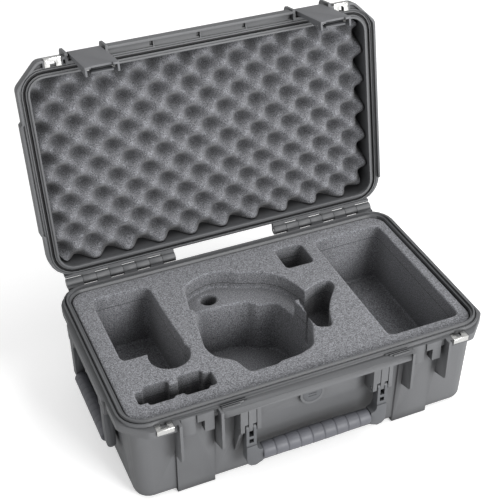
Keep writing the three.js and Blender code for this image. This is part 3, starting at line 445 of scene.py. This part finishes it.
@dataclass
class Workshop:
    """Holds the finished materials and hands pieces to the frame."""

    coats: dict[Coat, bpy.types.Material] = field(default_factory=dict)

    def prepare(self) -> None:
        """Makes every finish."""
        self.coats = {
            Coat.SHELL: MouldedPlastic("moulded_shell_plastic").build(),
            Coat.LATCH: MouldedPlastic("latch_plastic", "#616265", "#696a6d").build(),
            Coat.DARK: MouldedPlastic("handle_plastic", "#505154", "#585a5d", 0.48).build(),
            Coat.GRIP: Rubber("grip_rubber", "#525358", "#5f6066").build(),
            Coat.SEAL: Rubber("seal_rubber", "#161617", "#1e1e20", 0.7).build(),
            Coat.FOAM: OpenCellFoam(seam=underside(NODES["foam_top_layer"])).build(),
            Coat.STEEL: PlatedSteel().build(),
        }

    def dress(self, piece: bpy.types.Object, coat: Coat) -> None:
        """Gives a piece its finish.

        Args:
            piece: the object that is finished.
            coat: the finish.
        """
        piece.data.materials.clear()
        piece.data.materials.append(self.coats[coat])

    def fit(self, piece: bpy.types.Object, body: str, coat: Coat, *nodes: str) -> None:
        """Finishes a piece, mounts it on a body and lets it stand for frame nodes.

        Args:
            piece: the object that is mounted.
            body: the body it rides on.
            coat: its finish.
            nodes: the frame nodes that it stands for.
        """
        self.dress(piece, coat)
        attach(piece, body)
        if nodes:
            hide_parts(*nodes)
        log.info("%s rides on %s: %d faces", piece.name, body, len(piece.data.polygons))


# ---------- sub-assemblies ----------
@dataclass
class Hinge:
    """The hinge line, and the swing between the shut lid and the lid as it stands."""

    open_angle: float = math.radians(100.8)

    def axis(self) -> Vector:
        """Returns a point on the hinge's axis."""
        return Vector(next(j for j in frame["joints"] if j["name"] == "lid_hinge")["pos_m"])

    def opened(self) -> Matrix:
        """Works out the lid's swing.

        Returns:
            The turn that carries shut-lid places to where the lid stands.
        """
        axis = self.axis()
        turn = Matrix.Rotation(-self.open_angle, 4, "X")
        return Matrix.Translation(axis) @ turn @ Matrix.Translation(-axis)


@dataclass
class Shells:
    """The two moulded shells, with the small rounding that a mould leaves on every edge."""

    edge: float = 0.7 * MM

    def build(self, shop: Workshop) -> None:
        """Builds both shells.

        Args:
            shop: where they are finished and mounted.
        """
        for node, body in (("base_shell", "base"), ("lid_shell", "lid")):
            piece = body_mesh(node, f"moulded_{node}")
            round_edges(piece, self.edge)
            shop.fit(piece, body, Coat.SHELL, node)


@dataclass
class BaseFoam:
    """The base's foam: three cut layers, glued face to face into one block."""

    voxel: float = 1.8 * MM
    glue_overlap: float = 1.0 * MM
    waviness: float = 0.45 * MM
    wave_size: float = 26 * MM
    softening: float = 0.4
    layers: tuple[str, ...] = ("foam_top_layer", "foam_core", "foam_base_pad")

    def layer(self, node: str) -> bpy.types.Object:
        """Copies one layer and sinks its underside a little into the layer below.

        Args:
            node: the layer's frame node.

        Returns:
            The layer as a new object.
        """
        piece = body_mesh(node, f"cut_{node}")
        if node != self.layers[-1]:
            low = underside(piece)
            for vertex in piece.data.vertices:
                if vertex.co.z < low + 0.5 * self.glue_overlap:
                    vertex.co.z -= self.glue_overlap
        return piece

    def build(self, shop: Workshop) -> None:
        """Builds the block.

        Args:
            shop: where it is finished and mounted.
        """
        texture = bpy.data.textures.new("hand_cut_waves", "CLOUDS")
        texture.noise_scale = self.wave_size
        pieces = [self.layer(node) for node in self.layers]
        bpy.ops.object.select_all(action="DESELECT")
        for piece in pieces:
            piece.select_set(True)
        bpy.context.view_layer.objects.active = pieces[0]
        bpy.ops.object.join()
        block = pieces[0]
        block.name = "cut_foam_block"
        apply_modifier(block, "REMESH", mode="VOXEL", voxel_size=self.voxel)
        apply_modifier(block, "SMOOTH", factor=self.softening, iterations=1)
        apply_modifier(block, "DISPLACE", texture=texture, texture_coords="LOCAL",
                       strength=self.waviness, mid_level=0.5)
        only(block)
        bpy.ops.object.shade_smooth()
        shop.fit(block, "base", Coat.FOAM, *self.layers)


@dataclass
class EggCrateFoam:
    """The lid's convoluted foam: a checkerboard of rounded peaks and pits, open towards the case."""

    # The dome share is the part of the depth that falls evenly from peak to pit; the rest is the pit's own.
    pitch_x: float = 51.6 * MM
    pitch_y: float = 47.0 * MM
    pit_x: float = 4.8 * MM
    pit_from_front: float = 121.5 * MM
    pit_depth: float = 33 * MM
    pit_narrowness: float = 4.0
    dome_share: float = 0.8
    step: float = 3.0 * MM
    side_gap: float = 1.0 * MM
    face_gap: float = 0.5 * MM
    back_scale: float = 0.985
    corner: float = 30 * MM
    # The egg crate's foam paints shade into its pits, with a shorter reach than the base's foam.
    finish: OpenCellFoam = OpenCellFoam("egg_crate_open_cell_foam", crevice=38 * MM, darkest=0.16)
    hinge: Hinge = field(default_factory=Hinge)

    def depth(self, x: float, y: float) -> float:
        """Works out how far the surface lies behind the peaks.

        Args:
            x: place along the case.
            y: place from front to back, with the lid shut.

        Returns:
            The depth in metres.
        """
        across = math.cos(2 * math.pi * (x - self.pit_x) / self.pitch_x)
        along = math.cos(2 * math.pi * (y - self.pit_from_front) / self.pitch_y)
        hollow = 0.5 * (1 + across * along)
        pit = hollow ** self.pit_narrowness
        return self.pit_depth * (self.dome_share * hollow + (1 - self.dome_share) * pit)

    def rounded(self, offset: Vector, half: Vector) -> Vector:
        """Draws a place near a corner in to the sheet's round corner.

        Args:
            offset: the place, from the sheet's middle.
            half: half of the sheet's size.

        Returns:
            The place, moved in where it lay outside the round corner.
        """
        over = Vector((
            max(abs(offset.x) - half.x + self.corner, 0),
            max(abs(offset.y) - half.y + self.corner, 0),
        ))
        if min(over) == 0 or over.length <= self.corner:
            return offset
        drawn = over * (self.corner / over.length)
        return Vector((
            math.copysign(half.x - self.corner + drawn.x, offset.x),
            math.copysign(half.y - self.corner + drawn.y, offset.y),
        ))

    def build(self, shop: Workshop) -> None:
        """Builds the sheet of foam.

        Args:
            shop: where it is finished and mounted.
        """
        shut = self.hinge.opened().inverted()
        corners = [shut @ vertex.co for vertex in NODES["lid_foam"].data.vertices]
        low = Vector(min(c[i] for c in corners) for i in range(3))
        high = Vector(max(c[i] for c in corners) for i in range(3))
        size = high - low
        bpy.ops.object.select_all(action="DESELECT")
        bpy.ops.mesh.primitive_grid_add(x_subdivisions=round(size.x / self.step),
                                        y_subdivisions=round(size.y / self.step), size=1)
        piece = bpy.context.active_object
        piece.name = "egg_crate_foam"
        middle = (low + high) / 2
        half = Vector((size.x / 2 - self.side_gap, size.y / 2 - self.side_gap))
        for vertex in piece.data.vertices:
            offset = self.rounded(Vector((vertex.co.x * 2 * half.x, vertex.co.y * 2 * half.y)), half)
            x, y = middle.x + offset.x, middle.y + offset.y
            vertex.co = (x, y, low.z + self.face_gap + self.depth(x, y))
        front_count = len(piece.data.vertices)
        edit(piece, (bpy.ops.mesh.extrude_region_move, {}))
        for vertex in piece.data.vertices[front_count:]:
            offset = vertex.co - middle
            vertex.co = (middle.x + offset.x * self.back_scale, middle.y + offset.y * self.back_scale,
                         high.z - self.face_gap)
        edit(piece, (bpy.ops.mesh.normals_make_consistent, {"inside": False}))
        piece.data.transform(self.hinge.opened())
        only(piece)
        bpy.ops.object.shade_smooth()
        shop.fit(piece, "lid", Coat.FOAM, "lid_foam")
        piece.data.materials[0] = self.finish.build()


@dataclass
class LidGapShadeSheets:
    """Thin sheets of shell plastic behind the slots in the lid's front channel and along the hinge's knuckles:
    they stand in for the shade seen through these gaps and keep the floor from showing through.
    """

    # Places are for the shut lid: reach is forwards of the case's middle, rise is above the hinge line.
    slots: tuple[float, ...] = (-75 * MM, -4 * MM, 67 * MM, 141 * MM)
    slot_half: float = 5 * MM
    slot_reach: tuple[float, float] = (168.5 * MM, 161 * MM)
    slot_rise: tuple[float, float] = (5 * MM, 7 * MM)
    knuckles: tuple[float, float] = (84 * MM, 256 * MM)
    sheet_ahead: tuple[float, float] = (12.2 * MM, 7.9 * MM)
    sheet_rise: tuple[float, float] = (0.6 * MM, 11 * MM)
    edge: float = 0.4 * MM
    hinge: Hinge = field(default_factory=Hinge)

    def shade_sheet(self, name: str, low: Vector, high: Vector, shop: Workshop) -> None:
        """Makes one sheet that stands in for shade, placed with the lid shut and swung to where the lid stands.

        Args:
            name: the piece's name.
            low: its lowest corner.
            high: its highest corner.
            shop: where it is finished and mounted.
        """
        bpy.ops.object.select_all(action="DESELECT")
        bpy.ops.mesh.primitive_cube_add(size=1)
        piece = bpy.context.active_object
        piece.name = name
        size, middle = high - low, (low + high) / 2
        piece.data.transform(Matrix.Translation(middle) @ Matrix.Diagonal((*size, 1)))
        round_edges(piece, self.edge)
        piece.data.transform(self.hinge.opened())
        shop.fit(piece, "lid", Coat.SHELL)

    def build(self, shop: Workshop) -> None:
        """Builds the sheets that stand in for shade.

        Args:
            shop: where they are finished and mounted.
        """
        axis = self.hinge.axis()
        # Sheets behind the channel's slots, so these show shade and not the floor.
        for number, x in enumerate(self.slots):
            low = Vector((x - self.slot_half, -self.slot_reach[0], axis.z + self.slot_rise[0]))
            high = Vector((x + self.slot_half, -self.slot_reach[1], axis.z + self.slot_rise[1]))
            self.shade_sheet(f"slot_shade_sheet_{number}", low, high, shop)
        # Sheets along the knuckles, so the gaps there show shade and not the floor.
        for side, name in ((-1, "left"), (1, "right")):
            ends = sorted(side * x for x in self.knuckles)
            low = Vector((ends[0], axis.y - self.sheet_ahead[0], axis.z + self.sheet_rise[0]))
            high = Vector((ends[1], axis.y - self.sheet_ahead[1], axis.z + self.sheet_rise[1]))
            self.shade_sheet(f"hinge_shade_sheet_{name}", low, high, shop)


@dataclass
class Fittings:
    """Latches, handles, pins, seal and valve: every other hard piece, rounded and finished; the trigger springs
    are only finished.
    """

    edge: float = 0.5 * MM
    only_dressed: str = "trigger_spring"
    built_elsewhere: tuple[str, ...] = ("base_shell", "lid_shell", "lid_foam", *BaseFoam.layers)

    def build(self, shop: Workshop) -> None:
        """Builds each fitting.

        Args:
            shop: where they are finished and mounted.
        """
        coats = {s["node"]: Coat(s["material_slot"]) for s in frame["record"]["subparts"]}
        for body, nodes in frame["record"]["behaviour"]["bodies"].items():
            for node in nodes:
                if node in self.built_elsewhere:
                    continue
                if node.startswith(self.only_dressed):
                    shop.dress(NODES[node], coats[node])
                    continue
                piece = body_mesh(node, f"finished_{node}")
                round_edges(piece, self.edge)
                shop.fit(piece, body, coats[node], node)


# ---------- studio ----------
@dataclass(frozen=True)
class Lamp:
    """A square soft lamp: where it hangs, its side in metres and its power in watts."""

    name: str
    place: tuple[float, float, float]
    size: float
    power: float

    def hang(self, target: Vector) -> None:
        """Hangs the lamp.

        Args:
            target: the place that it faces.
        """
        data = bpy.data.lights.new(self.name, "AREA")
        data.size, data.energy = self.size, self.power
        lamp = bpy.data.objects.new(self.name, data)
        bpy.context.scene.collection.objects.link(lamp)
        lamp.location = self.place
        lamp.rotation_euler = (target - Vector(self.place)).to_track_quat("-Z", "Y").to_euler()


@dataclass
class Studio:
    """A pale floor, soft light and the camera."""

    azimuth: float = math.radians(-23.56)
    elevation: float = math.radians(36.88)
    roll: float = math.radians(-0.323)
    distance: float = 1.6785
    target: Vector = field(default_factory=lambda: Vector((0.03235, 0.0979, 0.154)))
    lens: float = 78.7
    shift: tuple[float, float] = (-0.0242, 0.0302)
    floor_size: float = 14
    floor_drop: float = 0.5 * MM
    floor_roughness: float = 0.9
    floor_glow: float = 0.42
    surround: float = 0.62
    lamps: tuple[Lamp, ...] = (
        Lamp("front_lamp", (0.9, -2.6, 1.2), 1.1, 74),
        Lamp("top_lamp", (1.3, -0.3, 2.5), 1.2, 22),
    )
    lamp_target: Vector = field(default_factory=lambda: Vector((0, 0.1, 0.2)))

    def camera(self) -> None:
        """Places the camera."""
        a, e, r = self.azimuth, self.elevation, self.roll
        back = Vector((math.sin(a) * math.cos(e), -math.cos(a) * math.cos(e), math.sin(e)))
        right = Vector((math.cos(a), math.sin(a), 0))
        up = back.cross(right)
        turned_right = right * math.cos(r) + up * math.sin(r)
        turned_up = up * math.cos(r) - right * math.sin(r)
        data = bpy.data.cameras.new("camera")
        data.lens = self.lens
        data.shift_x, data.shift_y = self.shift
        camera = bpy.data.objects.new("camera", data)
        bpy.context.scene.collection.objects.link(camera)
        matrix = Matrix((turned_right, turned_up, back)).transposed().to_4x4()
        matrix.translation = self.target + back * self.distance
        camera.matrix_world = matrix
        bpy.context.scene.camera = camera

    def floor(self) -> None:
        """Lays the floor, which shows white to the camera and keeps the case's shadow."""
        bpy.ops.object.select_all(action="DESELECT")
        bpy.ops.mesh.primitive_plane_add(size=self.floor_size, location=(0, 0, -self.floor_drop))
        plane = bpy.context.active_object
        plane.name = "floor"
        material, tree, shader = blank_material("floor_paper")
        shader.inputs["Base Color"].default_value = srgb("#f2f2f2")
        shader.inputs["Roughness"].default_value = self.floor_roughness
        shader.inputs["Emission Color"].default_value = srgb("#ffffff")
        rays = add_node(tree, "ShaderNodeLightPath")
        glow = add_node(tree, "ShaderNodeMapRange", {"in:To Min": 0.0, "in:To Max": self.floor_glow},
                        Value=rays.outputs["Is Camera Ray"])
        tree.links.new(glow.outputs["Result"], shader.inputs["Emission Strength"])
        plane.data.materials.append(material)

    def light(self) -> None:
        """Sets the lamps and a soft surrounding light, which shows white behind the case."""
        for lamp in self.lamps:
            lamp.hang(self.lamp_target)
        world = bpy.data.worlds.new("studio")
        bpy.context.scene.world = world
        world.use_nodes = True
        tree = world.node_tree
        rays = add_node(tree, "ShaderNodeLightPath")
        strength = add_node(tree, "ShaderNodeMapRange", {"in:To Min": self.surround, "in:To Max": 1.0},
                            Value=rays.outputs["Is Camera Ray"])
        background = tree.nodes["Background"]
        background.inputs["Color"].default_value = srgb("#ffffff")
        tree.links.new(strength.outputs["Result"], background.inputs["Strength"])

    def build(self) -> None:
        """Sets up the whole studio."""
        bpy.context.scene.view_settings.view_transform = "Standard"
        self.camera()
        self.floor()
        self.light()


def main() -> None:
    """Builds the studio and the case."""
    logging.basicConfig(level=logging.INFO, format="%(message)s")
    Studio().build()
    shop = Workshop()
    shop.prepare()
    Shells().build(shop)
    BaseFoam().build(shop)
    EggCrateFoam().build(shop)
    LidGapShadeSheets().build(shop)
    Fittings().build(shop)


if __name__ == "__main__":
    main()
